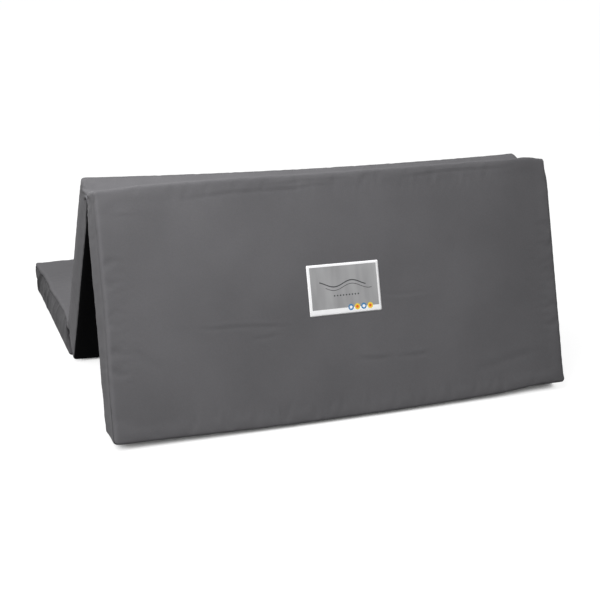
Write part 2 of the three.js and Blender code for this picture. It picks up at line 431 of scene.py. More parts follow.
def unitBox(name, columns, rows, levels):
    lift = Matrix.Translation((0, 0, 1))
    pairs = [(columns, rows, "X", 0, 180), (columns, levels, "X", 90, -90), (levels, rows, "Y", 90, -90)]
    grids = [addGrid(across, along, Matrix.Rotation(math.radians(turn), 4, axis) @ lift)
             for across, along, axis, *turns in pairs for turn in turns]
    box = joinAll(grids, name)
    turnFacesOut(box, weld=1e-5)
    return box


def rowDistance(index, count, half):
    insets = cover["rowInset"]
    last = len(insets) - 1
    beyond = insets[last] + (index - last) / (count / 2 - last) * (half - insets[last])
    return np.where(index < last, np.interp(index, range(len(insets)), insets), beyond)


def roundPlan(inX, inY, width, length, radius):
    # Places of points a given way in from the sides, with round corners, and which way is out
    px, py = radius - inX, radius - inY
    atCorner = (px > 0) & (py > 0)
    larger = np.maximum(px, py)
    angle = np.pi / 4 * np.minimum(px, py) / np.maximum(larger, 1e-9)
    angle = np.where(px >= py, angle, np.pi / 2 - angle)
    x = np.where(atCorner, width - radius + larger * np.cos(angle), width - inX)
    y = np.where(atCorner, length - radius + larger * np.sin(angle), length - inY)
    outX = np.where(atCorner, np.cos(angle), (inX < inY) * 1.0)
    outY = np.where(atCorner, np.sin(angle), (inY <= inX) * 1.0)
    return x, y, outX, outY


def padShape(box):
    unit = readPoints(box)
    side = np.sign(unit)
    u, v, w = np.abs(unit).T
    inX = rowDistance((1 - u) * cover["columns"] / 2, cover["columns"], halfX)
    inY = rowDistance((1 - v) * cover["rows"] / 2, cover["rows"], halfY)
    x, y, outX, outY = roundPlan(inX, inY, halfX, halfY, cover["corner"])

    onWall = w < 1 - 1e-6
    inset = np.minimum(inX, inY)
    levels = len(cover["wallHeight"]) - 1
    level = (1 - unit[:, 2]) / 2 * levels
    steps = range(levels + 1)
    panelDrawn, panelHeight = (
        np.where(unit[:, 2] > 0, np.interp(inset, cover["faceInset"], cover["face" + part]),
                 np.interp(inset, cover["faceInset"], cover["under" + part]))
        for part in ("Drawn", "Height"))
    drawn = np.where(onWall, np.interp(level, steps, cover["wallDrawn"]), panelDrawn)
    height = np.where(onWall, np.interp(level, steps, cover["wallHeight"]), side[:, 2] * panelHeight)
    x = side[:, 0] * (x - outX * drawn)
    y = side[:, 1] * (y - outY * drawn)
    writePoints(box, (x, y, height))


# Cloth simulation: the foam presses the cover out, the seams and the foam's faces hold it
drape = {
    "frames": 20,
    "seamReach": (1, 6),  # how close to a seam's line a point is held, up and down and inward
    "held": 0.6,  # how firmly the foam's broad faces hold the cloth
    "loose": (5, 80),  # loose between these distances from an edge, in mm
    "wallHeld": 0.5,
    "leastHeld": 0.02,
    "cap": 1.8,  # no point moves further than this, in mm
    "settings": {
        "quality": 4,
        "mass": 0.25,
        "tension_stiffness": 12.0,
        "compression_stiffness": 12.0,
        "bending_stiffness": 0.8,
        "shrink_min": -0.008,  # below 0 gives the cloth more length than the foam has
        "use_pressure": True,
        "uniform_pressure_force": 2.0,
        "vertex_group_mass": "held",
    },
}


def spotsOf(points):
    # Where points lie in their section: also how far off its middle and in from its outline
    x, y, z = points.T
    inX, inY = halfX - np.abs(x), halfY - np.abs(y)
    at = {"x": x, "y": y, "z": z, "yOut": np.abs(y), "zOut": np.abs(z), "inX": inX, "inY": inY}
    at["inset"] = np.minimum(inX, inY)
    at["onEnd"] = inX < inY
    at["along"] = np.where(at["onEnd"], y, x)
    return at


def holdOf(at):
    upDown, inward = drape["seamReach"]
    seamLevels = (cover["faceHeight"][0], -cover["underHeight"][0])
    inset = at["inset"]
    atSeam = [np.abs(at["z"] - level) < upDown for level in seamLevels]
    nearSeam = np.any(atSeam, axis=0) & (inset < inward)
    onFace = drape["held"] * fadeIn(inset, *drape["loose"])
    hold = np.where(inset > drape["loose"][0], onFace, drape["wallHeld"])
    return np.where(nearSeam, 1.0, np.clip(hold, drape["leastHeld"], 1))


def drapeCover(piece):
    base = readPoints(piece) / mm
    group = piece.vertex_groups.new(name="held")
    for index, weight in enumerate(np.round(holdOf(spotsOf(base)), 3).tolist()):
        group.add([index], weight, "REPLACE")
    cloth = piece.modifiers.new("drape", "CLOTH")
    for key, value in drape["settings"].items():
        setattr(cloth.settings, key, value)
    cloth.settings.effector_weights.gravity = 0
    cloth.collision_settings.use_collision = False
    cloth.point_cache.frame_start = 1
    cloth.point_cache.frame_end = drape["frames"]
    for number in range(1, drape["frames"] + 1):
        scene.frame_set(number)
    applyModifier(piece, cloth)
    move = readPoints(piece) / mm - base
    far = np.linalg.norm(move, axis=1, keepdims=True)
    cap = drape["cap"]
    writePoints(piece, (base + move * (cap * np.tanh(far / cap) / np.maximum(far, 1e-6))).T)
    piece.vertex_groups.clear()
    scene.frame_set(1)
    mean, most = (round(float(value), 2) for value in (far.mean(), far.max()))
    print("cloth draped, mean move", mean, "most", most, "mm")


# How the soft foam of each section has settled, in mm. A row moves the points of a section
# that lies face up: the axis, how far, and the shares of that which keep it to its place.

def fade(axis, start, end):
    return lambda at: fadeIn(at[axis], start, end)


def bump(axis, middle, width):
    return lambda at: bell(at[axis], middle, width)


def wavy(cell, seed):
    return lambda at: softNoise(at["y"], 0 * at["y"], cell, seed)


def across(at):
    return at["x"] / halfX


def arch(at):
    return np.clip(1 - across(at) ** 2, 0, 1)


def belowTop(at):
    return halfZ - at["z"]


# place across and along, reach each way, depth
frontDents = [
    (330, 60, 190, 130, 2.4), (-250, -120, 240, 120, 1.8), (80, -190, 220, 90, 1.6),
    (500, -180, 130, 110, 1.7), (-480, 120, 120, 140, -1.5), (337, 138, 26, 20, -1.0),
]


def frontMoves():
    top, foot = fade("y", 60, 325), fade("y", -120, -325)
    faceSide, leftEnd = fade("z", -45, 45), fade("x", -600, -700)
    upper, lower = fade("z", -30, 45), fade("z", 20, -45)
    return [
        # its upper end bulges over the fold, most toward the right
        ("y", 21.5, top),
        ("y", 8.5, top, across),
        ("y", 5.5, top, fade("x", -690, -560)),
        ("y", 2.5, top, bump("x", -380, 200)),
        ("y", 1.2, top, fade("x", 560, 620)),
        ("y", -8.2, top, fade("x", 625, 700)),
        # the lower edge of its face sags toward the floor, least of all at the ends
        ("y", -15, foot, faceSide, arch),
        ("y", 5, foot, faceSide, bump("x", 600, 70)),
        ("y", -3, foot, faceSide, fade("x", -520, -700)),
        # its left wall leans, and the corner at the back of the foot is pressed in
        ("x", 3.5, leftEnd, upper),
        ("x", -6.5, leftEnd, upper, fade("y", 60, -260)),
        ("x", -3, leftEnd, lower),
        ("x", -3, leftEnd, lower, fade("y", 50, -200)),
        ("x", 6, leftEnd, lower, fade("y", 200, 320)),
        ("y", 20, fade("x", -640, -700), fade("z", 35, -50), fade("y", -240, -325)),
        ("x", -8, fade("x", 650, 700), fade("y", 255, 325), faceSide),
        # both long edges of the face are drawn tight, and the face has shallow dents
        ("z", 0.6, fade("yOut", 300, 322), fade("z", 38.6, 41), belowTop),
        *(("z", -depth, faceSide, bump("x", x, wide), bump("y", y, long))
          for x, y, wide, long, depth in frontDents),
    ]


def middleMoves():
    top, backSide = fade("y", -200, -325), fade("z", -30, 48)
    low, inside = fade("y", 150, 325), fade("z", 30, -45)
    foot, underFoot = fade("y", 40, 325), fade("z", 20, -40)
    leftward, leftEnd, lower = fade("x", -300, -620), fade("x", -600, -700), fade("z", 20, -45)
    return [
        # its upper end is drawn in and its back edge sinks, most of all halfway across
        ("y", 4, top),
        ("y", 5, top, arch),
        ("y", 2, top, backSide),
        ("y", 5, top, backSide, arch),
        ("z", -4, top, backSide),
        ("z", -6, top, backSide, arch),
        # the soft lower end spreads where it carries the tent, most of all on the left
        ("y", 14, low, inside),
        ("y", 26, low, inside, leftward),
        ("y", -3, low, inside, fade("x", -640, -700)),
        ("z", -8, foot, underFoot),
        ("z", -17, foot, underFoot, leftward),
        # its left wall slants, and the upper right corner is drawn in
        ("x", 2.2, leftEnd),
        ("x", 6.2, leftEnd, lower),
        ("x", -4.96, leftEnd, lower, fade("y", 100, 320)),
        ("x", -4.34, leftEnd, lower, fade("y", -200, -320)),
        ("x", -10, fade("x", 620, 700), fade("y", -262, -325), fade("z", -20, 45)),
    ]


# The left end of the rear cover hangs loose: where it does, how deep, and its slanting gathers.
# A gather has its share, its width, how fast it changes down the wall, and its seed.
loose = {
    "wall": (-655, -697),
    "levels": (50, 34),
    "depth": (0.35, 0.65),  # at its near end, and how much more at its far end
    "deeper": (-60, 260),
    "slant": 0.45,
    "gathers": [(1.0, 30, 0.2, 71), (0.6, 14, 0.3, 72)],
}


def layered(along, down, layers, seed=0):
    return sum(share * softNoise(along, rate * down, width, seed + more)
               for share, width, rate, more in layers)


def looseWall(at):
    return fadeIn(at["x"], *loose["wall"]) * fadeIn(at["zOut"], *loose["levels"])


def looseDepth(at):
    least, more = loose["depth"]
    return least + more * fadeIn(at["y"], *loose["deeper"])


def looseGather(at):
    return layered(at["y"] + loose["slant"] * at["z"], at["z"], loose["gathers"])


def rearMoves():
    near, top = fade("y", -230, -325), fade("z", -10, 45)
    farEnd, underside, toe = fade("y", 230, 325), fade("z", 0, -40), fade("z", 30, -50)
    corner = (fade("x", -676, -692), fade("y", 310, 326), fade("z", 30, 46))
    edge = (fade("x", -590, -690), fade("z", 0, 42))
    return [
        # the loose left end: its gathers, drawn in at the near end, and pressed in at the far foot
        ("x", 1, looseWall, looseDepth),
        ("x", -5, looseWall, looseDepth, looseGather),
        ("x", 2.5, looseWall, fade("y", 0, -300)),
        ("x", -3, looseWall, fade("y", 0, 300)),
        ("x", 8, looseWall, farEnd, underside),
        ("y", -4.8, looseWall, farEnd, underside),
        # its upper left edge is drawn in unevenly
        ("x", 6, *edge, fade("y", 300, 180), fade("y", -325, -240)),
        ("x", 6, *edge, bump("y", -170, 110)),
        ("x", 2, *edge, wavy(34, 19), fade("y", 310, 230)),
        # the far corner stands out, and the far edge rises away from it, unevenly
        ("x", -3.5, *corner),
        ("y", 3, *corner),
        ("z", 1.5, *corner),
        ("z", 4, fade("x", -700, -570), fade("y", 220, 325), top),
        ("z", -3, fade("x", -560, -695), fade("y", 120, 320), top, wavy(70, 5)),
        # the near edge sinks under the tent, and is pressed out at its foot
        ("z", -5, near, top),
        ("z", -5, near, top, fade("x", -450, -690)),
        ("y", -8, near, toe),
        ("y", -12, near, toe, fade("x", -300, -560)),
        ("y", -14, near, toe, fade("x", -560, -700)),
    ]


settling = {"front": frontMoves(), "middle": middleMoves(), "rear": rearMoves()}


def settleMoves(at, name):
    moves = {axis: 0 * at[axis] for axis in "xyz"}
    for axis, amount, *shares in settling[name]:
        for share in shares:
            amount = amount * share(at)
        moves[axis] = moves[axis] + amount
    return np.array(list(moves.values()))


# Long shallow creases that lie over the foam: start, end, width and depth in mm. They are on
# the face, but for the one on the underside.
creases = {
    "front": [
        ((-500, 284), (40, 297), 4, 0.9), ((-290, 303), (90, 309), 3.5, 0.6),
        ((167, 302), (596, 309), 4, 1.0), ((-637, 256), (-600, 256), 3.5, 0.8),
        ((-469, -46), (-170, -69), 5, 0.8), ((-290, -96), (-225, -88), 5, 0.7),
        ((16, -180), (120, -184), 6, 0.9), ((150, -188), (240, -184), 6, 0.9),
        ((107, -16), (262, -19), 4, -0.6), ((-640, -80), (-560, -150), 14, 0.7),
        ((380, -250), (620, -225), 12, 0.7),
    ],
    "middle": [
        ((-560, -270), (-200, -282), 10, 1.6), ((100, -278), (520, -268), 10, 1.6),
        ((-500, 262), (-120, 280), 12, 1.8), ((60, 272), (560, 262), 12, 1.6),
        ((-400, 240), (100, 262), 12, 1.4, "under"), ((-300, 30), (-120, -10), 14, 1.0),
    ],
    "rear": [
        ((-600, -262), (-150, -276), 11, 1.8), ((40, -272), (610, -258), 11, 1.8),
        ((-640, 190), (-560, 60), 12, 1.4), ((300, 120), (520, 60), 14, 1.0),
        ((-200, 285), (240, 292), 10, 1.3),
    ],
}

creaseForm = {
    "wander": (3.0, 60, 11),  # how far it strays, the length of a bend, seed
    "runOut": 20,  # past its ends, in mm
    "full": (0.3, 0.7),  # where it is at its deepest, as shares of its length
    "ridge": (0.7, 1.6, 1.3),  # beside it: height, distance and width, as shares of its own
}


def creaseDepth(x, y, start, stop, width, depth):
    (startX, startY), (stopX, stopY) = start, stop
    reach = math.hypot(stopX - startX, stopY - startY)
    wayX, wayY = (stopX - startX) / reach, (stopY - startY) / reach
    t = (x - startX) * wayX + (y - startY) * wayY
    stray, bend, seed = creaseForm["wander"]
    off = -(x - startX) * wayY + (y - startY) * wayX + stray * softNoise(t, 0 * t, bend, seed)
    runOut = creaseForm["runOut"]
    first, last = (reach * share for share in creaseForm["full"])
    ends = fadeIn(t, -runOut, first) * fadeIn(t, reach + runOut, last)
    # a small fold: a groove with a low ridge beside it
    height, away, broad = creaseForm["ridge"]
    return depth * ends * (bell(off, 0, width) - height * bell(off, away * width, broad * width))


# which end of each section, and which side of it, lies at a fold
foldEnds = {"front": [(1, -1)], "middle": [(-1, -1), (1, 1)], "rear": [(-1, 1)]}

relief = {
    "face": (40, 47),  # from the first of these levels to the second, walls become faces
    "slack": 1.3,  # slow waves over the faces, and less of them on the underside
    "slackUnder": -0.6,
    "slackWidths": (210, 95),
    "slackShift": 900,
    "slackStart": (10, 70),
    "pucker": 0.55,  # short gathers run in from the seams
    "puckerWidth": 17,
    "puckerStretch": 0.25,  # gathers are closer together than they are long
    "puckerReach": (42, 4),
    "puckerPatch": 130,
    "pleat": 1.0,  # gathers down the walls
    "pleats": [(0.7, 24, 1.0, 7), (0.5, 13, 0.3, 9)],
    "crumple": 4.0,  # bunched cloth where a fold ends
    # share, rate and slant across, slant along, width, seed
    "crumples": [(1.0, 0.3, 1, -0.5, 8, 14), (0.6, 0.4, -1, 0.4, 5, 15)],
    "crumpleReach": (36, 52, 62),
    "crumpleFace": (0.7, 40, 46),
    "groove": 2.6,  # the wall lies a little deeper under the zip
    "grooveAcross": (12, 4),
    "grooveUp": (21, 17),
    "grooveAlong": (278, 268),
}


def crumpleOf(at, name, seed):
    # The cloth is bunched up where a fold ends
    x, y, z = at["x"], at["y"], at["z"]
    reachX, reachY, reachZ = relief["crumpleReach"]
    less, start, end = relief["crumpleFace"]
    bunch = sum(share * softNoise(rate * (x + side * z), y + lean * z, width, seed + more)
                for share, rate, side, lean, width, more in relief["crumples"])
    total = 0 * x
    for foldEnd, foldSide in foldEnds[name]:
        near = bell(at["inX"], 0, reachX) * bell(foldEnd * y, halfY, reachY)
        near = near * bell(foldSide * z, halfZ, reachZ)
        total = total + near * (1 - less * fadeIn(foldSide * z, start, end)) * bunch
    return total


def riseOf(at, name, seed):
    x, y, z, inset = (at[key] for key in ("x", "y", "z", "inset"))
    onFace = fadeIn(at["zOut"], *relief["face"])

    broad, narrow = relief["slackWidths"]
    slack = softNoise(x, y, broad, seed) + 0.5 * softNoise(x + relief["slackShift"], y, narrow, seed + 3)
    slack = relief["slack"] * np.where(z > 0, slack, relief["slackUnder"] * slack)
    rise = slack * onFace * fadeIn(inset, *relief["slackStart"])

    shift = 40 * (seed + (z > 0))  # keeps the two sides' gathers apart
    width, stretch, reach = (relief["pucker" + key] for key in ("Width", "Stretch", "Reach"))
    atEnd = softNoise(y, shift + x * stretch, width, seed + 6) * fadeIn(at["inX"], *reach)
    atSide = softNoise(x, shift + y * stretch, width, seed + 5) * fadeIn(at["inY"], *reach)
    patch = 0.5 + 0.5 * softNoise(x, y, relief["puckerPatch"], seed + 8)
    rise = rise + relief["pucker"] * onFace * np.where(at["onEnd"], atEnd, atSide) * patch

    rise = rise + relief["pleat"] * (1 - onFace) * layered(at["along"], z, relief["pleats"], seed)
    for start, end, width, depth, *under in creases[name]:
        onSide = z < 0 if under else z > 0
        rise = rise - creaseDepth(x, y, start, end, width, depth) * onFace * onSide
    return rise


shading = {
    "endHighlight": 0.09,  # painted highlight along the edges of the face, at its ends and at its long sides
    "sideHighlight": 0.027,
    "highlightPlace": (6, 4.5),  # in from the edge, and width
    "highlightLevels": (40, 44),
    # painted shade in the seam grooves: how dark, widths of the upper and lower lines, reach in from the
    # walls, unevenness
    "seamShade": 0.35,
    "seamWidths": (1.3, 1.2),
    "seamIn": 5,
    "seamPatch": (0.6, -0.5, 190, 12),
    "frontSeam": (0.3, 2.5),  # the painted seam shade at the front's ends is strongest toward the foot
    "frontFoot": (-60, -280),
    # painted shade over parts of the faces: the levels where it lies, then per section how dark and across
    # which span
    "faceLevels": (36, 46),
    "facePaintedShade": {"front": (0.07, 420, 640), "rear": (0.06, -800, -720)},
    "loose": (0.2, 0.3, 0.4),  # painted shade where the gathers of the loose end lie in each other's shade, over the whole loose wall
    "looseLimit": (-0.6, 1),
    "crumpleShade": 0.5,
    "crumpleHighlight": 0.2,
}


# Painted light and shade for the cloth's colour: highlights along the face edges, shade in the seam
# grooves, on parts of the faces, in the loose gathers and in the crumples
def shadeOf(at, name, seed, crumple):
    z, inset = at["z"], at["inset"]
    # painted highlight: the cloth is made lighter along the rounded edges of the faces
    light = np.where(at["inY"] < at["inX"], shading["sideHighlight"], shading["endHighlight"])
    shade = 1 + light * bell(inset, *shading["highlightPlace"]) * fadeIn(z, *shading["highlightLevels"])

    # painted shade: a dark line in the grooves of the upper and lower seams, uneven along them
    upper, lower = shading["seamWidths"]
    seam = bell(z, cover["faceHeight"][0], upper) + bell(z, -cover["underHeight"][0], lower)
    if name == "front":
        least, more = shading["frontSeam"]
        seam = seam * np.where(at["onEnd"], least + more * fadeIn(at["y"], *shading["frontFoot"]), 1)
    mean, change, length, moreSeed = shading["seamPatch"]
    patch = mean + change * softNoise(at["along"], 0 * z, length, seed + moreSeed)
    shade = shade - shading["seamShade"] * seam * (inset < shading["seamIn"]) * patch

    # painted shade: the front face darker toward its right, the whole rear face a little darker
    if name in shading["facePaintedShade"]:
        dark, *reach = shading["facePaintedShade"][name]
        shade = shade - dark * fadeIn(z, *shading["faceLevels"]) * fadeIn(at["x"], *reach)
    # painted shade over the rear's loose left wall, deeper toward its far end and in its gathers
    if name == "rear":
        depth, gather = looseDepth(at), np.clip(looseGather(at), *shading["looseLimit"])
        always, byDepth, byGather = shading["loose"]
        shade = shade - looseWall(at) * (always + byDepth * depth + byGather * depth * gather)
    # painted shade in the crumples' hollows and painted highlight on their crests
    darker, lighter = np.clip(-crumple, 0, 1), np.clip(crumple, 0, 1)
    return shade - shading["crumpleShade"] * darker + shading["crumpleHighlight"] * lighter


def sculptCover(piece, name, seed):
    points = readPoints(piece) / mm
    at = spotsOf(points)
    crumple = crumpleOf(at, name, seed)
    keepClothPlace(piece, points * mm, shadeOf(at, name, seed, crumple))
    rise = riseOf(at, name, seed) + relief["crumple"] * crumple
    points = points + readPoints(piece, "normal") * rise[:, None]
    groove = (fadeIn(at["inX"], *relief["grooveAcross"]) * (at["x"] > 0)
              * fadeIn(at["zOut"], *relief["grooveUp"]) * fadeIn(at["yOut"], *relief["grooveAlong"]))
    points[:, 0] -= relief["groove"] * groove + np.where(groove > 0.5, np.maximum(rise, 0), 0)
    writePoints(piece, points.T + settleMoves(at, name))


def addUnderside(piece):
    # The panel below the lower seam is of black cloth, near black with no sheen: a black base cloth that in
    # part also paints the deep shade inside the tent
    centres = np.zeros(len(piece.data.polygons) * 3)
    piece.data.polygons.foreach_get("center", centres)
    below = centres[2::3] < -cover["underHeight"][1] * mm
    piece.data.materials.append(underCloth)
    piece.data.polygons.foreach_set("material_index", below.astype(np.int32))


paddedBox = unitBox("paddedBox", cover["columns"], cover["rows"], len(cover["wallHeight"]) - 1)
padShape(paddedBox)
drapeCover(paddedBox)
modify(paddedBox, "SUBSURF", levels=1, render_levels=1)
dress(paddedBox, coverCloth)
addUnderside(paddedBox)


def makeCover(name, seed):
    piece = addObject(name + "Cover", paddedBox.data.copy())
    sculptCover(piece, name, seed)
    piece.data.transform(places[name])
    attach(piece, name + "_section")
    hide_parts(name + "_foam_core", name + "_face_panel", name + "_underside_panel", name + "_border")
    if name == "front":
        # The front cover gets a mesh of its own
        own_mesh(piece)
    print(name, "cover", len(piece.data.polygons), "faces")
    return piece


covers = {name: makeCover(name, seed) for name, seed in zip(sectionNames, cover["seeds"])}
bpy.data.objects.remove(paddedBox)


# Label sewn to the front face

# Places in its drawing are shares of its width and height.
label = {
    "columns": 74,
    "rows": 48,
    "corner": 3,
    "lift": 0.35,
    "thickness": 0.7,
    "hem": 2.6,
    "puff": (0.35, 3),  # height, and over what distance in from the hem
    "wave": (0.3, 38, 4),  # height, length, seed
    "waveStart": (2, 14),
    "edgeDown": (0.4, 1.6),
    "stitch": (3.4, 0.62, 0.5),
    "stitchPitch": 5.2,
    "stitchLift": 0.12,
    "thread": (0.62, 0.62, 0.63),
    "field": (0.33, 0.33, 0.335),
    "fieldBox": (0.038, 0.966, 0.118, 0.952),
    # painted shade and sheen of the satin's drape, in bands down the field
    "bands": (5.5, 0.12),  # scale across and down
    "drapeShades": (0.8, 1.16),
    "edge": (0.93, 0.93, 0.94),
    "ink": (0.035, 0.035, 0.04),
    # two long ripples drawn across the field: level, half width, left, right
    "ripples": [(0.60, 0.011, 0.16, 0.80), (0.53, 0.006, 0.24, 0.88)],
    "rippleForm": (13.0, 0.055),
    # a row of dots under them: number across, level, how flat, size, left, right
    "dots": (24.0, 0.37, 15.6, 0.06, 0.3333, 0.7083),
    # small coloured leaves on the lower edge, each with a heart
    "leaves": (0.57, 0.66, 0.75, 0.84),
    "leafLevel": 0.118,
    "leafSizes": [(0.038, 0.062), (0.02, 0.03)],
    "leafTints": [("blue", "edge"), ("yellow", "orange")],
    "blue": (0.03, 0.19, 0.42),
    "yellow": (0.86, 0.62, 0.05),
    "orange": (0.78, 0.13, 0.02),
    "threads": (62.0, 0.8),  # fine satin threads: scale and how much they wander
    "relief": (0.12, 0.0002),
}


class Paint(Wiring):
    # Adds masks and colours over a piece's own flat map, from 0 to 1 each way
    def __init__(self, owner, values):
        super().__init__(owner, values)
        self.uv = self.add("UVMap", {}, "UV")
        self.u, self.v = (self.add("SeparateXYZ", {"Vector": self.uv}, axis) for axis in "XY")

    def between(self, value, low, high):
        return self.times(self.calc("GREATER_THAN", value, low), self.calc("LESS_THAN", value, high))

    def inOval(self, offU, offV, size=1.0):
        squares = [self.calc("POWER", off, 2.0) for off in (offU, offV)]
        return self.calc("LESS_THAN", self.calc("ADD", *squares), size)

    def over(self, under, colour, mask):
        under, colour = ((*side, 1) if isinstance(side, tuple) else side for side in (under, colour))
        return self.add("Mix", {"Factor": mask, "A": under, "B": colour}, "Result", data_type="RGBA")

    def field(self):
        # painted shade and sheen of a satin drape: soft lighter and darker bands that run down the field
        scale, down = label["bands"]
        spot = self.add("CombineXYZ", {"X": self.u, "Y": self.times(self.v, down)}, "Vector")
        tone = self.remap(self.noise(spot, scale, 2.0), noiseSpan, label["drapeShades"])
        left, right, low, high = label["fieldBox"]
        inside = self.times(self.between(self.u, left, right), self.between(self.v, low, high))
        return self.over(label["edge"], self.scaled(label["field"], tone), inside)

    def ripple(self, level, width, left, right):
        turn, height = label["rippleForm"]
        crest = self.times(self.calc("SINE", self.times(self.u, turn)), height)
        off = self.calc("SUBTRACT", self.calc("SUBTRACT", self.v, level), crest)
        line = self.calc("LESS_THAN", self.calc("ABSOLUTE", off), width)
        return self.times(line, self.between(self.u, left, right))

    def dots(self, across, level, tall, size, left, right):
        turn = self.calc("SUBTRACT", self.calc("FRACT", self.times(self.u, across)), 0.5)
        off = self.times(self.calc("SUBTRACT", self.v, level), tall)
        return self.times(self.inOval(turn, off, size), self.between(self.u, left, right))

    def leaf(self, middle, level, reachU, reachV):
        offU = self.calc("DIVIDE", self.calc("SUBTRACT", self.u, middle), reachU)
        offV = self.calc("DIVIDE", self.calc("SUBTRACT", self.v, level), reachV)
        return self.inOval(offU, offV)


def labelMaterial():
    values = {"Roughness": 0.5, "Sheen Weight": 0.15, "Specular IOR Level": 0.4}
    paint = Paint(bpy.data.materials.new("labelSatin"), values)
    colour = paint.field()
    for ripple in label["ripples"]:
        colour = paint.over(colour, label["ink"], paint.ripple(*ripple))
    colour = paint.over(colour, label["ink"], paint.dots(*label["dots"]))
    for index, middle in enumerate(label["leaves"]):
        for tint, size in zip(label["leafTints"][index % 2], label["leafSizes"]):
            colour = paint.over(colour, label[tint], paint.leaf(middle, label["leafLevel"], *size))
    paint.put("Base Color", colour)
    paint.relief(paint.wave(paint.uv, "X", *label["threads"]), *label["relief"])
    return paint.owner


threadLook = {
    "shader": {"Roughness": 0.6},
    "twist": (1800.0, 2.0),  # scale, detail
    "tones": (0.85, 1.1),
    "relief": (0.4, 0.0002),
}


def threadMaterial(name, colour):
    yarn = newMaterial(name, threadLook["shader"])
    twist = yarn.noise(yarn.add("TexCoord", {}, "Object"), *threadLook["twist"])
    yarn.tint(colour, twist, threadLook["tones"])
    yarn.relief(twist, *threadLook["relief"])
    return yarn.owner


def faceHeights(spots):
    # Heights of the front section's face over its own middle plane at the spots, in mm
    inverse, mesh = places["front"].inverted(), covers["front"].data
    corners = [inverse @ vertex.co for vertex in mesh.vertices]
    tree = BVHTree.FromPolygons(corners, [tuple(polygon.vertices) for polygon in mesh.polygons])
    above, down = 0.2, Vector((0, 0, -1))
    return np.array([tree.ray_cast(Vector((x * mm, y * mm, above)), down)[0].z / mm for x, y in spots])


def addBead(size, segments, rings):
    bpy.ops.mesh.primitive_uv_sphere_add(segments=segments, ring_count=rings, radius=0.5)
    bead = bpy.context.object
    bead.data.transform(Matrix.Diagonal((*(side * mm for side in size), 1)))
    return bead


def makeLabel():
    low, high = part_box("front_label")
    middle = places["front"].inverted() @ ((low + high) / 2) / mm
    halfCardX, halfCardY = (high.x - low.x) / mm / 2, (high.z - low.z) / alongWay("front").z / mm / 2
    card = addGrid(label["columns"], label["rows"])
    card.name = "frontLabel"
    unit = readPoints(card)
    inX, inY = (1 - np.abs(unit[:, 0])) * halfCardX, (1 - np.abs(unit[:, 1])) * halfCardY
    x, y, _, _ = roundPlan(inX, inY, halfCardX, halfCardY, label["corner"])
    x, y = middle.x + np.sign(unit[:, 0]) * x, middle.y + np.sign(unit[:, 1]) * y
    inset = np.minimum(inX, inY)
    hem, (puff, rise), (wave, length, seed) = (label[key] for key in ("hem", "puff", "wave"))
    z = faceHeights(zip(x, y)) + label["lift"] + label["thickness"]
    z = z + puff * fadeIn(inset, hem, hem + rise)
    z = z + wave * softNoise(x, y, length, seed) * fadeIn(inset, *label["waveStart"])
    z = z - label["edgeDown"][0] * fadeIn(inset, label["edgeDown"][1], 0)
    writePoints(card, (x, y, z))
    modify(card, "SOLIDIFY", thickness=label["thickness"] * mm, offset=-1)
    card.data.transform(places["front"])
    dress(card, labelMaterial())
    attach(card, "front_section")
    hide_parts("front_label")
    sewLabel(middle, halfCardX - hem, halfCardY - hem)


def sewLabel(middle, halfRowX, halfRowY):
    # one row of stitches in the hem
    long = label["stitch"][0]
    row = []
    for side in (-1, 1):
        for step in np.arange(-halfRowX + long, halfRowX - long, label["stitchPitch"]):
            row.append((middle.x + step, middle.y + side * halfRowY, 0.0))
        for step in np.arange(-halfRowY + long, halfRowY - long, label["stitchPitch"]):
            row.append((middle.x + side * halfRowX, middle.y + step, math.pi / 2))
    heights = faceHeights([spot[:2] for spot in row])
    heights = heights + label["lift"] + label["thickness"] + label["stitchLift"]
    stitch = addBead(label["stitch"], segments=8, rings=5)
    copies = []
    for (x, y, turn), height in zip(row, heights):
        copy = addObject("stitch", stitch.data.copy())
        spot = Matrix.Translation(Vector((x, y, height)) * mm)
        copy.data.transform(places["front"] @ spot @ Matrix.Rotation(turn, 4, "Z"))
        copies.append(copy)
    bpy.data.objects.remove(stitch)
    seam = joinAll(copies, "frontLabelStitches")
    dress(seam, threadMaterial("labelThread", label["thread"]))
    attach(seam, "front_section")
    print("label and", len(row), "stitches")


makeLabel()


# Zip in the right-hand end of each section

zips = {
    "columns": 14,
    "rows": 104,
    "tapeSink": 1.9,  # under the wall's own plane
    "tapeThickness": 0.9,
    "ridge": (0.5, 4.0),  # the tape is raised under the coil: height, half width
    "wave": (0.25, 26, 13),  # and waves a little between its stitches: height, length, seed
    "waveStart": (4, 12),
    "loopPitch": 3.0,
    "loop": (2.5, 0.72),  # half width across the coil, thickness of its wire
    "loopHeight": 1.5,
    "loopSink": 0.2,
    "stitch": (0.55, 3.2, 0.6),
    "stitchLift": 0.15,
    "stitchPitch": 5.0,
    "stitchMargin": 8,
    "stitchRows": (9.5, -9.5),
    "tape": (0.028, 0.028, 0.030),
    "wire": (0.018, 0.018, 0.019),
    "thread": (0.045, 0.045, 0.048),
    "metal": (0.56, 0.56, 0.57),
}


tapeLook = {
    "shader": {"Roughness": 0.8, "Sheen Weight": 0.15},
    "yarn": (900.0, 2.0),  # scale, detail
    "tones": (0.85, 1.15),
    "ribs": (150.0, 0.4),  # scale, how much they wander
    "relief": (0.6, 0.0003),
}


def ribbedMaterial(name, colour):
    tape = newMaterial(name, tapeLook["shader"])
    spot = tape.kept("clothPlace", "Vector")
    tape.tint(colour, tape.noise(spot, *tapeLook["yarn"]), tapeLook["tones"])
    tape.relief(tape.wave(spot, "Z", *tapeLook["ribs"]), *tapeLook["relief"])
    return tape.owner


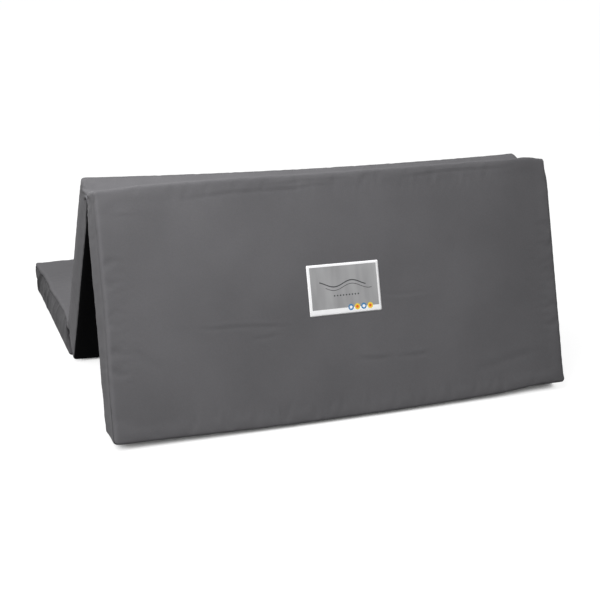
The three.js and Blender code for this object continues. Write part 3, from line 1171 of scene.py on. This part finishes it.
metalLook = {
    "wear": (160.0, 2.0),  # scale, detail
    "wearSpan": (0.35, 0.7),
    "roughness": (0.24, 0.46),
    "tones": (0.9, 1.06),
    "scratches": (700.0, 4.0, 0.7),  # scale, detail, roughness
    "relief": (0.2, 0.0001),
}


def metalMaterial(name, colour):
    metal = newMaterial(name, {"Metallic": 1.0})
    spot = metal.add("TexCoord", {}, "Object")
    wear = metal.noise(spot, *metalLook["wear"])
    metal.put("Roughness", metal.remap(wear, metalLook["wearSpan"], metalLook["roughness"]))
    metal.tint(colour, wear, metalLook["tones"])
    metal.relief(metal.noise(spot, *metalLook["scratches"]), *metalLook["relief"])
    return metal.owner


zipTapeCloth = ribbedMaterial("zipTapeCloth", zips["tape"])
zipWire = threadMaterial("zipWire", zips["wire"])
zipThread = threadMaterial("zipThread", zips["thread"])
zipMetal = metalMaterial("brushedNickel", zips["metal"])
zipPlane = halfX - zips["tapeSink"] + zips["tapeThickness"]  # the tape's outer plane


def repeatAlong(item, pitch, count, x, z):
    # A row of the item along y, centred, at x and z, in mm
    start = -(count - 1) / 2 * pitch
    item.data.transform(Matrix.Translation(Vector((x, start, z)) * mm))
    modify(item, "ARRAY", count=count, use_relative_offset=False, use_constant_offset=True,
           constant_offset_displace=(0, pitch * mm, 0))


def makeTape(width, length):
    tape = addGrid(zips["columns"], zips["rows"])
    unit = readPoints(tape)
    z, y = unit[:, 0] * width / 2, unit[:, 1] * length / 2
    (ridge, reach), (wave, bend, seed) = zips["ridge"], zips["wave"]
    x = zipPlane + ridge * bell(z, 0, reach)
    x = x + wave * softNoise(y, z, bend, seed) * fadeIn(np.abs(z), *zips["waveStart"])
    writePoints(tape, (x, y, -z))
    modify(tape, "SOLIDIFY", thickness=zips["tapeThickness"] * mm, offset=-1)
    dress(tape, zipTapeCloth)
    return tape


def makeCoil(length):
    # one loop of wire, again and again
    half, wire = zips["loop"]
    bpy.ops.mesh.primitive_torus_add(
        major_segments=10, minor_segments=5, major_radius=half - wire / 2, minor_radius=wire / 2)
    loop = bpy.context.object
    flatten = Matrix.Diagonal((zips["loopHeight"] / (2 * half), 1, 1, 1))
    loop.data.transform(Matrix.Scale(mm, 4) @ flatten @ Matrix.Rotation(math.pi / 2, 4, "X"))
    level = zipPlane + zips["ridge"][0] + zips["loopHeight"] / 2 - zips["loopSink"]
    repeatAlong(loop, zips["loopPitch"], int(length / zips["loopPitch"]), level, 0)
    dress(loop, zipWire)
    return loop


def makeStitchRow(length, level):
    stitch = addBead(zips["stitch"], segments=6, rings=4)
    count = int((length - zips["stitchMargin"]) / zips["stitchPitch"])
    repeatAlong(stitch, zips["stitchPitch"], count, zipPlane + zips["stitchLift"], level)
    dress(stitch, zipThread)
    return stitch


def makeZip(name):
    zipLow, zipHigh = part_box("rear_zip_tape")
    length, width = (zipHigh.y - zipLow.y) / mm, (zipHigh.z - zipLow.z) / mm
    parts = [makeTape(width, length), makeCoil(length)]
    parts += [makeStitchRow(length, level) for level in zips["stitchRows"]]
    piece = joinAll(parts, name + "ZipTape")
    keepClothPlace(piece, readPoints(piece))
    piece.data.transform(places[name])
    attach(piece, name + "_section")
    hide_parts(name + "_zip_tape")
    for part in (name + "_zip_slider", name + "_zip_pull"):
        for slot in bpy.data.objects[part].material_slots:
            slot.material = zipMetal
    print(name, "zip", len(piece.data.polygons), "faces")


for name in sectionNames:
    makeZip(name)


# Folds: one strip of cloth from seam to seam over each fold line

fold = {
    "reach": 699,  # half its width across the bed
    "columns": 420,
    "rows": 20,
    "tail": 16,  # hidden in the cover at each side
    "tailShare": 0.2,  # of the strip's rows, against those that show
    "cloth": 26,  # from seam to seam, along the cloth
    "thickness": 1.0,
    "gather": 1.1,
    "gathers": [(1.0, 9, 6, 31), (0.6, 23, 3, 32)],
    "sink": 0.4,
    "crumple": 1.6,  # more gathered where the strip ends
    "crumpleStart": (655, 692),
    "seamIn": 3.2,
    "seamLevel": 38.5,
}


def makeFold(name, first, second, firstEnd, secondEnd, side):
    # first and second are sections; an end is 1 or -1 along the section, side is 1 on the face
    inner, level = halfY - fold["seamIn"], side * fold["seamLevel"]
    start, end = pointIn(first, 0, firstEnd * inner, level), pointIn(second, 0, secondEnd * inner, level)
    rollLow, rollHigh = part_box(name + "_fold_roll")
    ridge = (rollLow + rollHigh) / 2
    strip = addGrid(fold["columns"], fold["rows"])
    strip.name = name + "FoldCloth"
    unit = readPoints(strip)
    x = unit[:, 0] * fold["reach"]
    tail = fold["tailShare"]
    t = (unit[:, 1] + 1) / 2 * (1 + 2 * tail) - tail
    before, after = np.clip(-t, 0, 1) / tail, np.clip(t - 1, 0, 1) / tail
    t = np.clip(t, 0, 1)
    # gathers across the strip, crumpled where it ends
    wave = fold["gather"] * layered(x, t, fold["gathers"]) * np.sin(np.pi * t) - fold["sink"]
    wave = wave * (1 + fold["crumple"] * fadeIn(np.abs(x), *fold["crumpleStart"]))
    outward = Vector((0, 2 * ridge.y - start.y - end.y, 2 * ridge.z - start.z - end.z)).normalized()
    curve = []
    for pick in (1, 2):
        a, b, c = start[pick] / mm, ridge[pick] / mm, end[pick] / mm
        crest = 2 * b - (a + c) / 2  # the curve passes through the fold line
        line = (1 - t) ** 2 * a + 2 * t * (1 - t) * crest + t ** 2 * c + outward[pick] * wave
        for far, section, sectionEnd in ((before, first, firstEnd), (after, second, secondEnd)):
            line = line - far * fold["tail"] * sectionEnd * alongWay(section)[pick]
        curve.append(line)
    middle = places["rear"].translation.x / mm
    writePoints(strip, (middle + x, *curve))
    keepClothPlace(strip, np.stack([x, (t + after - before) * fold["cloth"], 0 * x], axis=1) * mm)
    modify(strip, "SOLIDIFY", thickness=fold["thickness"] * mm, offset=0)
    turnFacesOut(strip)
    dress(strip, foldTape)
    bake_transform(strip)
    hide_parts(*(node for node in frame["nodes"] if node.startswith(name + "_fold_")))
    print(name, "fold", len(strip.data.polygons), "faces")


makeFold("lower", "rear", "middle", -1, 1, 1)
makeFold("upper", "middle", "front", -1, 1, -1)
